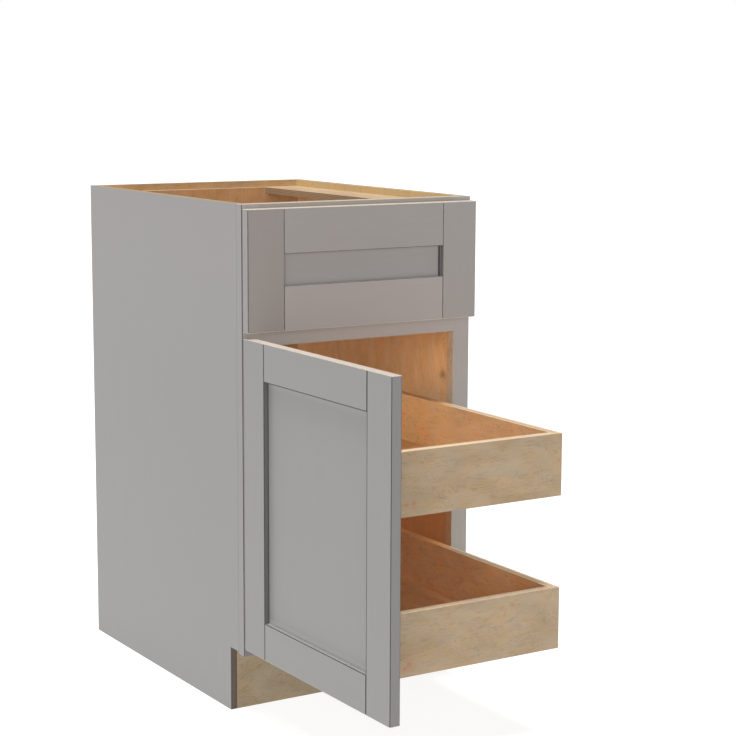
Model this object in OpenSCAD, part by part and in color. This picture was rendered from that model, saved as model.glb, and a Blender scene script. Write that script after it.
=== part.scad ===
// Framed kitchen base cabinet with one drawer, one door and two roll-out trays.
// X runs across the front, with zero at the middle of the cabinet.
// Y is zero on the back face and falls towards the front. Z is up from the floor.

/* [Cabinet box] */
// Width over the side panels
cab_w = 457.2; // [430:0.1:610]
// Depth from the back face to the front of the face frame
cab_d = 609.6; // [600:0.1:660]
// Height from the floor to the top edges
cab_h = 876.3; // [860:0.1:920]
// Thickness of a side panel
side_t = 12.7; // [10:0.1:16]
// Thickness of the bottom panel
bottom_t = 12.7; // [9:0.1:16]
// Thickness of the back panel
back_t = 6.35; // [5:0.05:9]
// Depth of the grooves that hold the bottom and back panels
dado_d = 6.2; // [3:0.1:8]
// Height of the bottom rail above the bottom panel
bottom_lip = 13; // [4:0.5:16]
// Depth of the toe space behind the front of the face frame
toe_d = 49; // [40:1:76]
// Height of the toe notch above the frame's lower end
toe_step = 4; // [1:0.5:5]
// Thickness of the toe board
toe_board_t = 12.7; // [9:0.1:19]
// Height of each rail along the back
hang_rail_h = 89; // [60:1:110]
// Thickness of each rail along the back
hang_rail_t = 12.7; // [9:0.1:19]
// Width of a top brace
brace_w = 75; // [40:1:90]
// Thickness of a top brace
brace_t = 12.7; // [9:0.1:19]
// Depth of the braces and the back panel below the top edges
brace_drop = 12.7; // [0:0.1:20]

/* [Face frame] */
// Thickness of the face frame
frame_t = 19; // [16:0.5:22]
// Width of a stile
stile_w = 33; // [30:0.5:40]
// Height of the top rail
top_rail_h = 38; // [30:1:50]
// Height of the middle rail
mid_rail_h = 38; // [30:1:44]
// Height of the bottom rail
bottom_rail_h = 32; // [24:1:34]
// Height of the lower end of the frame above the floor
frame_z = 108; // [104:0.5:111]
// Height of the drawer's opening between the top and middle rails
drawer_opening_h = 162.3; // [155:0.1:180]
// Length of a rail's tenon
tenon_l = 12; // [6:0.5:15]
// Thickness of a rail's tenon
tenon_t = 8; // [5:0.5:10]
// Shoulder above and below a rail's tenon
tenon_shoulder = 6; // [2:0.5:9]
// Length of the side panels' tongues into the stiles
tongue_l = 6; // [3:0.5:8]

/* [Door and drawer front] */
// Thickness of the door and drawer front
front_t = 18; // [17:0.5:20]
// Reveal between a front's edge and the cabinet's side
front_reveal = 0.8; // [0.4:0.1:3]
// Reveal above the drawer front
top_reveal = 7.3; // [3:0.1:12]
// Height of the drawer front
drawer_front_h = 205; // [195:1:212]
// Gap between the drawer front and the door
front_gap = 9.2; // [3:0.1:14]
// Height of the door's lower edge above the frame's lower end
door_lift = 13.5; // [8:0.1:20]
// Width of the stiles of both fronts
front_stile_w = 69; // [60:0.5:80]
// Height of the door's rails
door_rail_h = 63.5; // [55:0.5:80]
// Height of the drawer front's rails
drawer_rail_h = 75.8; // [50:0.1:85]
// Depth of the flat panel behind the front face
panel_set = 9; // [6:0.5:9.5]
// Thickness of the flat panel
panel_t = 6; // [4:0.5:7]
// Depth of the groove round the flat panel
groove_d = 10; // [6:0.5:14]
// Room round the flat panel in its groove
panel_clear = 0.5; // [0.2:0.1:0.9]
// Gap between the door and the face frame
door_gap = 2.5; // [2:0.1:4]
// Gap between the drawer front and the face frame
drawer_gap = 1.5; // [1:0.1:3]
// Angle at which the door stands open
door_open = 90; // [86:1:98]
// Radius of a bumper
bumper_r = 4; // [3:0.5:6]
// Distance of a bumper from the edges of its front
bumper_inset = 14; // [10:0.5:16]
// Free height left when a bumper is pressed
bumper_slack = 0.2; // [0.1:0.1:0.5]

/* [Hinges] */
// Radius of a hinge cup
cup_r = 17.4; // [16:0.1:18]
// Radial room round a hinge cup in its bore
cup_clear = 0.1; // [0.05:0.05:0.5]
// Depth of a hinge cup
cup_d = 13; // [11.5:0.1:14]
// Wall of a hinge cup
cup_wall = 1; // [0.8:0.1:1]
// Distance from the door's edge to the bore for the cup
cup_edge = 2.5; // [2.3:0.1:3]
// Gap between the arm's knuckle and the cup's wall
knuckle_gap = 0.4; // [0.3:0.05:0.8]
// Gap between the arm's knuckle and the cup's floor
floor_gap = 0.25; // [0.2:0.05:0.5]
// Radius of the hinge pin
pin_r = 1; // [0.9:0.05:1.1]
// Radial clearance round the hinge pin
pin_clear = 0.05; // [0.03:0.01:0.08]
// Wall of the arm's knuckle round the pin
knuckle_wall = 0.75; // [0.6:0.05:0.8]
// Width of the hinge arm
arm_w = 9; // [7:0.5:10]
// Thickness of the hinge arm and its plate
arm_t = 1.8; // [1.5:0.1:2]
// Inner radius of the bend in the hinge arm
arm_bend = 2; // [1:0.5:3]
// Height of the plate on the stile
arm_plate_h = 46; // [40:1:60]
// Radius of the plate's corners
arm_plate_round = 3; // [1:0.5:4]
// Radius of the adjuster in the middle of the plate
adjuster_r = 4; // [3:0.5:5]
// Height of the adjuster
adjuster_h = 1.2; // [0.8:0.1:1.5]
// Half of the spacing of a hinge's screws
hinge_screw_z = 17; // [15:0.5:18]
// Thickness of the flange round a cup
flange_t = 1.2; // [1:0.1:1.3]
// Width of the flange's rim round the cup
flange_rim = 1.6; // [1:0.1:2]
// Half length of the flange's ears
ear_l = 30; // [28:0.5:34]
// Half of the spacing of the ears' screws
ear_screw_z = 23.5; // [22.5:0.5:25]
// Distance of a hinge's centre from the end of the door
hinge_end = 76; // [72:1:110]

/* [Roll-out trays] */
// Gap between a tray and the face frame's stiles
tray_side_gap = 17.6; // [14:0.1:24]
// Thickness of the tray and drawer box walls
wall_t = 15.9; // [12:0.1:18]
// Gap between the closed drawer box and the back panel
box_rear_gap = 59; // [20:1:90]
// Height of a tray
tray_h = 104.5; // [80:0.5:120]
// Height of the lower tray's edge above the bottom rail
tray_lift = 9; // [8:0.5:30]
// Height of the upper tray above the lower tray
tray_pitch = 258.5; // [180:0.5:290]
// Distance behind the frame's front of a tray pushed home
tray_home = 6; // [1:0.5:10]
// Distance that the trays stand pulled out
tray_open = 348; // [330:1:480]
// Height of the underside of a box's bottom above its lower edge
recess_h = 12.7; // [12:0.1:15]
// Thickness of a box's bottom
box_bottom_t = 6.35; // [4:0.05:9]
// Depth of the grooves in a box's walls
box_groove_d = 6; // [3:0.5:8]
// Thickness of a front board where it laps over the ends of the sides
lap_t = 8; // [6:0.5:9]

/* [Drawer box] */
// Gap between the drawer box and the face frame's stiles
drawer_side_gap = 5.6; // [5.2:0.1:12]
// Height of the drawer box
drawer_box_h = 110; // [90:1:125]
// Height of the drawer box's lower edge above the middle rail
drawer_box_lift = 16; // [14:0.5:24]

/* [Runners] */
// Gap between the runners and the back panel
runner_rear_gap = 34.5; // [10:0.5:80]
// Thickness of the sheet steel
sheet_t = 1.5; // [1:0.1:1.6]
// Running gap between two members
run_gap = 0.5; // [0.3:0.1:0.6]
// Width of the moving member
runner_w = 28; // [24:0.5:34]
// Gap between the moving member and the box's side
runner_inset = 2; // [0.5:0.1:4]
// Height of the moving member's legs
moving_h = 9.7; // [7:0.1:10]
// Height of the middle member
middle_h = 14.7; // [12:0.1:16]
// Height of the fixed member's short leg
short_leg_h = 12; // [9:0.1:13]
// Depth of the fixed member's foot below the box
foot_drop = 13.5; // [12:0.1:17]
// Gap between the box's side and the mounting block
block_gap = 5; // [4:0.1:5.1]
// Height of the fixed member's flange above the box's lower edge
flange_rise = 20; // [12:0.5:22]
// Gap between a tray's front board pushed home and the runners
runner_front_gap = 1; // [0.5:0.1:4]
// Number of slots in a fixed member's flange
flange_slot_n = 4; // [2:1:5]
// Length of a slot in the flange
flange_slot_l = 24; // [12:1:40]
// Height of a slot in the flange
flange_slot_h = 5; // [3:0.5:6]
// Width of the hook at the rear end of the moving member
hook_w = 9; // [7:0.5:14]
// Radius of the hook's peg, which enters the box's back board
hook_peg_r = 2; // [1.5:0.1:2.5]
// Length of the hook's peg
hook_peg_l = 9; // [6:0.5:11]
// Height of the peg above the box's bottom
hook_peg_z = 6; // [5:0.5:12]
// Depth of a mounting block below the box's lower edge
block_drop = 18; // [16:0.5:20]
// Height of a mounting block
block_h = 43; // [41:0.5:60]

/* [Locking clips] */
// Length of a clip behind the front board
clip_l = 42; // [30:1:60]
// Width of a clip
clip_w = 22; // [16:0.5:30]
// Height of a clip's body
clip_h = 9; // [7:0.1:10]
// Thickness of a clip's lever
clip_lever_t = 3; // [2:0.1:4]
// Radius of a clip's corners
clip_round = 2; // [1:0.5:3]
// Number of grip ribs under a clip's lever
clip_rib_n = 4; // [2:1:5]

/* [Cutlery insert] */
// Gap between the insert and each side of the drawer box
insert_side_gap = 1.1; // [0.5:0.1:10]
// Gap between the insert and the front of the drawer box
insert_front_gap = 2; // [1.5:0.5:20]
// Depth of the insert's base
insert_d = 381; // [300:1:460]
// Thickness of the insert's base
insert_base_t = 6; // [4:0.5:9]
// Height of the insert's rails and dividers
insert_h = 55; // [30:1:70]
// Thickness of the insert's rails and dividers
insert_t = 9; // [6:0.5:12]
// Depth of the open margin in front of the front rail
insert_margin = 95; // [40:1:140]
// Number of dividers
divider_n = 3; // [1:1:5]
// Depth of the grooves that hold the dividers
divider_groove = 3; // [1:0.5:4]

/* [Screws] */
// Radius of a screw's head
screw_head_r = 3.6; // [3:0.1:4]
// Height of a screw's head
screw_head_h = 1.2; // [1:0.1:1.2]
// Width of the cross in a screw's head
screw_cross_w = 0.9; // [0.6:0.1:1.1]
// Radius of a screw's shank
screw_r = 1.9; // [1.5:0.1:2]
// Room round a screw's shank in its hole
screw_clear = 0.1; // [0.05:0.05:0.3]
// Length of a screw's shank
screw_l = 14; // [8:0.5:15]
// Distance of a runner's screws from its ends
runner_screw_end = 60; // [30:1:120]
// Spacing of the screws that hold the drawer front
front_screw_x = 65; // [40:1:70]
// Length of those screws in the drawer front
front_screw_bite = 11; // [6:0.5:15]

/* [Hidden] */
half_w = cab_w / 2;
inner_x = half_w - side_t;
stile_x = half_w - stile_w;
front_y = -cab_d;
frame_back_y = front_y + frame_t;
toe_y = front_y + toe_d;
back_panel_y = -hang_rail_t - back_t;
bottom_rail_top_z = frame_z + bottom_rail_h;
bottom_top_z = bottom_rail_top_z - bottom_lip;
bottom_z = bottom_top_z - bottom_t;
toe_h = frame_z + toe_step;
brace_z = cab_h - brace_drop - brace_t;
mid_rail_top_z = cab_h - top_rail_h - drawer_opening_h;
mid_rail_z = mid_rail_top_z - mid_rail_h;

front_w = cab_w - 2 * front_reveal;
drawer_front_z = cab_h - top_reveal - drawer_front_h;
drawer_front_y = front_y - drawer_gap - front_t;
door_z = frame_z + door_lift;
door_h = drawer_front_z - front_gap - door_z;
door_y = front_y - door_gap - front_t;
door_x = -front_w / 2;
knuckle_r = pin_r + pin_clear + knuckle_wall;
cup_bore_r = cup_r + cup_clear;
cup_inner_r = cup_r - cup_wall;
cup_sag = cup_inner_r - sqrt(pow(cup_inner_r, 2) - pow(arm_w / 2, 2));
pin_in = cup_edge + cup_clear + cup_wall + cup_sag + knuckle_gap + knuckle_r;
pin_deep = cup_d - cup_wall - floor_gap - knuckle_r;
hinge_x = door_x + pin_in;
hinge_y = front_y - door_gap - pin_deep;
hinge_zs = [door_z + hinge_end, door_z + door_h - hinge_end];
cup_x = door_x + cup_edge + cup_bore_r;
ear_r = ear_l - ear_screw_z;
door_inner_y = front_y - door_gap;

tray_half = stile_x - tray_side_gap;
tray_y = front_y + tray_home - tray_open;
lower_z = bottom_rail_top_z + tray_lift;
upper_z = lower_z + tray_pitch;
drawer_half = stile_x - drawer_side_gap;
drawer_y = front_y - drawer_gap;
drawer_z = mid_rail_top_z + drawer_box_lift;
box_l = back_panel_y - box_rear_gap - drawer_y;
runner_y = front_y + tray_home + wall_t + runner_front_gap;
runner_l = back_panel_y - runner_rear_gap - runner_y;

insert_w = 2 * (drawer_half - wall_t - insert_side_gap);
insert_y = drawer_y + wall_t + insert_front_gap;
insert_z = drawer_z + recess_h + box_bottom_t;
rail_z = insert_z + insert_base_t;
rail_back_y = insert_y + insert_d - insert_t;
rail_front_y = insert_y + insert_margin;
front_screw_z = (rail_z + drawer_front_z + drawer_rail_h - groove_d) / 2;
front_screw_l = wall_t + front_screw_bite;
cut = 1;
$fn = 48;

paint = [0.63, 0.63, 0.62];
maple = [0.87, 0.73, 0.55];
steel = [0.72, 0.73, 0.75];
plastic = [0.86, 0.45, 0.14];
rubber = [0.85, 0.85, 0.82];

// Shapes that several pieces share

module board(x, y, z) {
    translate([x[0], y[0], z[0]]) cube([x[1] - x[0], y[1] - y[0], z[1] - z[0]]);
}

module both_sides() {
    children();
    mirror([1, 0, 0]) children();
}

// A rectangle with round corners
module rounded(x, y, r) {
    translate([x[0] + r, y[0]]) square([x[1] - x[0] - 2 * r, y[1] - y[0]]);
    translate([x[0], y[0] + r]) square([x[1] - x[0], y[1] - y[0] - 2 * r]);
    for (cx = [x[0] + r, x[1] - r], cy = [y[0] + r, y[1] - r]) translate([cx, cy]) circle(r = r);
}

// Extrudes a profile drawn in X and Z from y0 to y1
module along_y(y0, y1) {
    translate([0, y1, 0]) rotate([90, 0, 0]) linear_extrude(y1 - y0) children();
}

// Extrudes a profile drawn in Y and Z from x0 to x1
module along_x(x0, x1) {
    translate([x0, 0, 0]) rotate([90, 0, 90]) linear_extrude(x1 - x0) children();
}

// The cross in a screw's head, or in a disc of any radius, cut down from the height z
module cross_recess(r, z) {
    for (a = [0, 90])
        rotate([0, 0, a]) board([-r / 2, r / 2], [-screw_cross_w / 2, screw_cross_w / 2],
            [z - screw_head_h / 2, z + cut]);
}

// A screw whose head rests at the origin and whose shank runs down
module screw(l = screw_l) {
    difference() {
        cylinder(h = screw_head_h, r1 = screw_head_r, r2 = screw_head_r * 0.7);
        cross_recess(screw_head_r, screw_head_h);
    }
    translate([0, 0, -l]) cylinder(h = l + screw_head_h / 4, r = screw_r);
}

// The hole for such a screw
module screw_hole(l = screw_l) {
    translate([0, 0, -l - screw_clear])
        cylinder(h = l + screw_clear + cut, r = screw_r + screw_clear);
}

// Cabinet box

module side_panel() {
    outline = [
        [toe_y, 0], [0, 0], [0, cab_h], [frame_back_y, cab_h],
        [frame_back_y, toe_h], [toe_y, toe_h]
    ];
    difference() {
        union() {
            along_x(inner_x, half_w) polygon(outline);
            board([inner_x, inner_x + side_t / 2],
                [frame_back_y - tongue_l, frame_back_y + cut], [toe_h, cab_h]);
        }
        board([inner_x - cut, inner_x + dado_d],
            [frame_back_y - tongue_l - cut, back_panel_y], [bottom_z, bottom_top_z]);
        board([inner_x - cut, inner_x + dado_d],
            [back_panel_y, -hang_rail_t], [-cut, cab_h - brace_drop]);
    }
}

module side_panel_left() {
    color(paint) mirror([1, 0, 0]) side_panel();
}

module side_panel_right() {
    color(paint) side_panel();
}

module back_panel() {
    reach = inner_x + dado_d;
    color(maple) board([-reach, reach], [back_panel_y, -hang_rail_t], [0, cab_h - brace_drop]);
}

module bottom_panel() {
    reach = inner_x + dado_d;
    color(maple) board([-reach, reach], [frame_back_y, back_panel_y], [bottom_z, bottom_top_z]);
}

module toe_board() {
    color(maple) board([-inner_x, inner_x], [toe_y, toe_y + toe_board_t], [0, bottom_z]);
}

module hanging_rails() {
    for (z = [0, cab_h - hang_rail_h])
        color(maple) board([-inner_x, inner_x], [-hang_rail_t, 0], [z, z + hang_rail_h]);
}

module top_braces() {
    color(maple) both_sides()
        board([inner_x - brace_w, inner_x], [frame_back_y, back_panel_y],
            [brace_z, brace_z + brace_t]);
}

// Face frame

// The tenon of a rail, which also cuts its mortise
module rail_tenon(z, h) {
    mid_y = front_y + frame_t / 2;
    board([stile_x - cut, stile_x + tenon_l], [mid_y - tenon_t / 2, mid_y + tenon_t / 2],
        [z + tenon_shoulder, z + h - tenon_shoulder]);
}

module frame_stile() {
    color(paint) difference() {
        board([stile_x, half_w], [front_y, frame_back_y], [frame_z, cab_h]);
        board([inner_x, inner_x + side_t / 2],
            [frame_back_y - tongue_l, frame_back_y + cut], [toe_h, cab_h + cut]);
        rail_tenon(cab_h - top_rail_h, top_rail_h);
        rail_tenon(mid_rail_z, mid_rail_h);
        rail_tenon(frame_z, bottom_rail_h);
    }
}

module stile_left() {
    color(paint) difference() {
        mirror([1, 0, 0]) frame_stile();
        for (z = hinge_zs) arm_screws(z) screw_hole();
    }
}

module stile_right() {
    frame_stile();
}

module frame_rail(z, h) {
    color(paint) {
        board([-stile_x, stile_x], [front_y, frame_back_y], [z, z + h]);
        both_sides() rail_tenon(z, h);
    }
}

module top_rail() {
    frame_rail(cab_h - top_rail_h, top_rail_h);
}

module middle_rail() {
    frame_rail(mid_rail_z, mid_rail_h);
}

module bottom_rail() {
    frame_rail(frame_z, bottom_rail_h);
}

// Concealed hinges

// Puts the children where the two screws of an arm's plate are
module arm_screws(z) {
    for (s = [-1, 1])
        translate([-stile_x + arm_t, front_y + frame_t / 2, z + s * hinge_screw_z])
            rotate([0, 90, 0]) children();
}

// The arm's strip from the knuckle to its bend, drawn in X and Y
module arm_strip(bend_x, bend_y) {
    outer = arm_bend + arm_t;
    translate([hinge_x, hinge_y]) circle(r = knuckle_r);
    translate([hinge_x, bend_y - outer]) square([bend_x - hinge_x + cut / 2, arm_t]);
    translate([bend_x, bend_y]) intersection() {
        difference() {
            circle(r = outer);
            circle(r = arm_bend);
        }
        translate([0, -outer]) square(outer);
    }
}

// The arm's knuckle turns on the cup's pin, and its plate is screwed to the stile
module hinge_arm(z) {
    plate_x = -stile_x;
    bend_x = plate_x - arm_bend;
    bend_y = hinge_y - knuckle_r + arm_t + arm_bend;
    difference() {
        union() {
            translate([0, 0, z - arm_w / 2]) linear_extrude(arm_w) arm_strip(bend_x, bend_y);
            along_x(plate_x, plate_x + arm_t) polygon([
                [bend_y - cut / 2, z - arm_w / 2], [front_y + cut, z - arm_w],
                [front_y + cut, z + arm_w], [bend_y - cut / 2, z + arm_w / 2]
            ]);
            along_x(plate_x, plate_x + arm_t) rounded([front_y, frame_back_y],
                [z - arm_plate_h / 2, z + arm_plate_h / 2], arm_plate_round);
            translate([plate_x + arm_t, front_y + frame_t / 2, z]) rotate([0, 90, 0])
                difference() {
                    cylinder(h = adjuster_h, r = adjuster_r);
                    cross_recess(adjuster_r, adjuster_h);
                }
        }
        translate([hinge_x, hinge_y, z - arm_w])
            cylinder(h = 2 * arm_w, r = pin_r + pin_clear);
        arm_screws(z) screw_hole();
    }
}

module hinge_arms() {
    color(steel) for (z = hinge_zs) hinge_arm(z);
}

// Puts the children where the two screws of a cup's flange are, on the closed door
module cup_screws(z) {
    for (s = [-1, 1])
        translate([cup_x, door_inner_y + flange_t, z + s * ear_screw_z])
            rotate([-90, 0, 0]) children();
}

// A cup on the closed door: shell, flange with two ears, and the pin across it
module hinge_cup(z) {
    difference() {
        translate([cup_x, door_inner_y, z]) rotate([90, 0, 0]) {
            cylinder(h = cup_d, r = cup_r);
            translate([0, 0, -flange_t]) linear_extrude(flange_t) {
                circle(r = cup_r + flange_rim);
                translate([-ear_r, -ear_screw_z]) square([2 * ear_r, 2 * ear_screw_z]);
                for (s = [-1, 1]) translate([0, s * ear_screw_z]) circle(r = ear_r);
            }
        }
        translate([cup_x, door_inner_y + flange_t + cut, z]) rotate([90, 0, 0])
            cylinder(h = cup_d - cup_wall + flange_t + cut, r = cup_inner_r);
        cup_screws(z) screw_hole();
    }
    pin_chord = sqrt(pow(cup_r - cup_wall / 2, 2) - pow(cup_x - hinge_x, 2));
    translate([hinge_x, hinge_y, z - pin_chord]) cylinder(h = 2 * pin_chord, r = pin_r);
}

// Door

// Swings a piece of the closed door to where the door stands open
module swing() {
    translate([hinge_x, hinge_y, 0]) rotate([0, 0, -door_open])
        translate([-hinge_x, -hinge_y, 0]) children();
}

// The groove for the flat panel of a front, from the front's own corner
module panel_groove(x, z) {
    board(x, [panel_set, panel_set + panel_t], z);
}

// Left stile of a front that is h high
module front_stile(h) {
    difference() {
        board([0, front_stile_w], [0, front_t], [0, h]);
        panel_groove([front_stile_w - groove_d, front_stile_w + cut], [-cut, h + cut]);
    }
}

// Lower rail of a front, tongued into both stiles
module front_rail(rail_h) {
    inner = front_w - front_stile_w;
    difference() {
        union() {
            board([front_stile_w, inner], [0, front_t], [0, rail_h]);
            panel_groove([front_stile_w - groove_d, inner + groove_d], [0, rail_h]);
        }
        panel_groove([0, front_w], [rail_h - groove_d, rail_h + cut]);
    }
}

// Flat panel of a front
module front_panel(h, rail_h) {
    side = front_stile_w - groove_d + panel_clear;
    end = rail_h - groove_d + panel_clear;
    panel_groove([side, front_w - side], [end, h - end]);
}

module on_door() {
    swing() translate([door_x, door_y, door_z]) children();
}

// Turns a lower or left piece of a front into the upper or right one
module flip_x() {
    translate([front_w, 0, 0]) mirror([1, 0, 0]) children();
}

module flip_z(h) {
    translate([0, 0, h]) mirror([0, 0, 1]) children();
}

module door_hinge_stile() {
    color(paint) difference() {
        on_door() front_stile(door_h);
        for (z = hinge_zs) swing() {
            translate([cup_x, door_inner_y + cut, z]) rotate([90, 0, 0])
                cylinder(h = cup_d + cut, r = cup_bore_r);
            cup_screws(z) screw_hole();
        }
    }
}

module door_free_stile() {
    color(paint) on_door() flip_x() front_stile(door_h);
}

module door_top_rail() {
    color(paint) on_door() flip_z(door_h) front_rail(door_rail_h);
}

module door_bottom_rail() {
    color(paint) on_door() front_rail(door_rail_h);
}

module door_panel() {
    color(paint) on_door() front_panel(door_h, door_rail_h);
}

module hinge_cups() {
    color(steel) for (z = hinge_zs) swing() hinge_cup(z);
}

module door_screws() {
    color(steel) for (z = hinge_zs) swing() cup_screws(z) screw();
}

// A bumper on the inner face of a front, at a distance from its lower left corner
module bumper(x, z, gap) {
    translate([x, front_t, z]) rotate([-90, 0, 0]) {
        h = gap - bumper_slack;
        cylinder(h = h / 2, r = bumper_r);
        translate([0, 0, h / 2]) cylinder(h = h / 2, r1 = bumper_r, r2 = bumper_r * 0.7);
    }
}

module door_bumpers() {
    color(rubber) on_door()
        for (z = [bumper_inset, door_h - bumper_inset])
            bumper(front_w - bumper_inset, z, door_gap);
}

// Drawer front

module on_drawer_front() {
    translate([-front_w / 2, drawer_front_y, drawer_front_z]) children();
}

module drawer_front_stile_left() {
    color(paint) on_drawer_front() front_stile(drawer_front_h);
}

module drawer_front_stile_right() {
    color(paint) on_drawer_front() flip_x() front_stile(drawer_front_h);
}

module drawer_front_top_rail() {
    color(paint) on_drawer_front() flip_z(drawer_front_h) front_rail(drawer_rail_h);
}

module drawer_front_bottom_rail() {
    color(paint) difference() {
        on_drawer_front() front_rail(drawer_rail_h);
        front_screws() screw_hole(front_screw_l);
    }
}

module drawer_front_panel() {
    color(paint) on_drawer_front() front_panel(drawer_front_h, drawer_rail_h);
}

module drawer_bumpers() {
    color(rubber) on_drawer_front()
        for (x = [bumper_inset, front_w - bumper_inset], z = [bumper_inset, drawer_front_h - bumper_inset])
            bumper(x, z, drawer_gap);
}

// Boxes: the drawer box and the trays are made alike.
// Each is given its half width, its front, its lower edge and its height.

// The groove for a box's bottom
module bottom_groove(half, y, z, grow) {
    reach = half - wall_t + box_groove_d + grow;
    board([-reach, reach], [y + wall_t - box_groove_d, y + box_l - wall_t + box_groove_d],
        [z + recess_h, z + recess_h + box_bottom_t]);
}

// The tongue on the end of a box's back board, which also cuts its groove
module end_tongue(half, y, z, h) {
    board([half - wall_t - cut, half - wall_t + box_groove_d],
        [y + wall_t / 3, y + 2 * wall_t / 3], [z, z + h]);
}

module box_sides(half, y, z, h) {
    color(maple) difference() {
        both_sides() board([half - wall_t, half], [y + lap_t, y + box_l], [z, z + h]);
        bottom_groove(half, y, z, 0);
        both_sides() end_tongue(half, y + box_l - wall_t, z - cut, h + 2 * cut);
    }
}

// The front board laps over the ends of both sides
module box_front(half, y, z, h) {
    color(maple) difference() {
        union() {
            board([-half, half], [y, y + lap_t], [z, z + h]);
            board([wall_t - half, half - wall_t], [y, y + wall_t], [z, z + h]);
        }
        bottom_groove(half, y, z, cut);
    }
}

// The back board is notched at its lower corners for the runners and bored for their hooks
module box_back(half, y, z, h) {
    back_y = y + box_l - wall_t;
    color(maple) difference() {
        union() {
            board([wall_t - half, half - wall_t], [back_y, back_y + wall_t], [z, z + h]);
            both_sides() end_tongue(half, back_y, z, h);
        }
        bottom_groove(half, y, z, cut);
        both_sides() {
            board([half - wall_t - 2 * runner_inset - runner_w, half],
                [back_y - cut, back_y + wall_t + cut], [z - cut, z + recess_h]);
            hook_peg(half, y, z, screw_clear);
        }
    }
}

module box_bottom(half, y, z) {
    color(maple) bottom_groove(half, y, z, 0);
}

// Runners: three nested members under each side of a box.
// x is counted inwards from the inner face of the box's side, z from its lower edge.

// An upside-down channel, drawn in X and Z
module channel(x0, x1, top, h) {
    difference() {
        translate([x0, top - h]) square([x1 - x0, h]);
        translate([x0 + sheet_t, top - h - cut]) square([x1 - x0 - 2 * sheet_t, h - sheet_t + cut]);
    }
}

// Places a profile at the inner face of a box's right side, and mirrors it
module under_box(half, z, y0, y1) {
    color(steel) both_sides() along_y(y0, y1)
        translate([half - wall_t, z]) mirror([1, 0]) children();
}

// The peg of a moving member's hook, or with room round it the bore for the peg
module hook_peg(half, y, z, room) {
    translate([half - wall_t - runner_inset - runner_w / 2, y + box_l,
            z + recess_h + box_bottom_t + hook_peg_z])
        rotate([90, 0, 0]) cylinder(h = hook_peg_l + room, r = hook_peg_r + room);
}

// The moving member hooks into the box's back board
module runner_moving(half, y, z) {
    under_box(half, z, y + wall_t, y + box_l + sheet_t)
        channel(runner_inset, runner_inset + runner_w, recess_h, moving_h);
    mid = runner_inset + runner_w / 2;
    under_box(half, z, y + box_l, y + box_l + sheet_t)
        translate([mid - hook_w / 2, recess_h - sheet_t])
            square([hook_w, sheet_t + box_bottom_t + hook_peg_z + hook_w / 2]);
    color(steel) both_sides() hook_peg(half, y, z, 0);
}

module runner_middle(half, y, z) {
    step = sheet_t + run_gap;
    under_box(half, z, y, y + runner_l)
        channel(runner_inset + step, runner_inset + runner_w - step, recess_h - step, middle_h);
}

// The screws that hold a fixed member to its mounting block
module runner_screws(half, z) {
    for (y = [runner_y + runner_screw_end, runner_y + runner_l - runner_screw_end])
        both_sides() translate([half + block_gap - sheet_t, y, z + flange_rise / 2])
            rotate([0, -90, 0]) children();
}

// The fixed member hooks under the box's side and is screwed to the mounting block
module runner_fixed(half, z) {
    step = 2 * (sheet_t + run_gap);
    x0 = runner_inset + step;
    x1 = runner_inset + runner_w - step;
    top = recess_h - step;
    flange_x = -wall_t - block_gap;
    difference() {
        under_box(half, z, runner_y, runner_y + runner_l) {
            translate([x0, top - sheet_t]) square([x1 - x0, sheet_t]);
            translate([x1 - sheet_t, top - short_leg_h]) square([sheet_t, short_leg_h]);
            translate([x0, -foot_drop]) square([sheet_t, top + foot_drop]);
            translate([flange_x, -foot_drop]) square([x0 - flange_x + sheet_t, sheet_t]);
            translate([flange_x, -foot_drop]) square([sheet_t, foot_drop + flange_rise]);
        }
        runner_screws(half, z) screw_hole();
        for (i = [1 : flange_slot_n]) {
            y = runner_y + runner_l * i / (flange_slot_n + 1);
            both_sides() board([half + block_gap - sheet_t - cut, half + block_gap + cut],
                [y - flange_slot_l / 2, y + flange_slot_l / 2],
                [z + (flange_rise - flange_slot_h) / 2, z + (flange_rise + flange_slot_h) / 2]);
        }
    }
}

module runner_blocks(half, z) {
    color(maple) difference() {
        both_sides() board([half + block_gap, inner_x], [runner_y, runner_y + runner_l],
            [z - block_drop, z - block_drop + block_h]);
        runner_screws(half, z) screw_hole();
    }
}

// Locking clips behind the front board, under the bottom
module clips(half, y, z) {
    x1 = half - wall_t - 2 * runner_inset - runner_w;
    y0 = y + wall_t;
    top = z + recess_h;
    lever_y = y0 + clip_l;
    lever_r = clip_w / 4;
    lever_x = x1 - clip_round - lever_r;
    color(plastic) both_sides() {
        translate([0, 0, top - clip_h]) linear_extrude(clip_h)
            rounded([x1 - clip_w, x1], [y0, lever_y], clip_round);
        translate([0, 0, top - clip_lever_t]) linear_extrude(clip_lever_t) {
            translate([lever_x - lever_r, lever_y - cut]) square([2 * lever_r, 3 * lever_r + cut]);
            translate([lever_x, lever_y + 3 * lever_r]) circle(r = lever_r);
        }
        for (i = [1 : clip_rib_n])
            translate([lever_x - lever_r / 2, lever_y + i * 3 * lever_r / clip_rib_n, top - clip_lever_t])
                rotate([0, 90, 0]) cylinder(h = lever_r, r = clip_lever_t / 4);
    }
}

module drawer_box_sides() {
    box_sides(drawer_half, drawer_y, drawer_z, drawer_box_h);
}

module drawer_box_front() {
    color(maple) difference() {
        box_front(drawer_half, drawer_y, drawer_z, drawer_box_h);
        front_screws() screw_hole(front_screw_l);
    }
}

module drawer_box_back() {
    box_back(drawer_half, drawer_y, drawer_z, drawer_box_h);
}

module drawer_box_bottom() {
    box_bottom(drawer_half, drawer_y, drawer_z);
}

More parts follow.
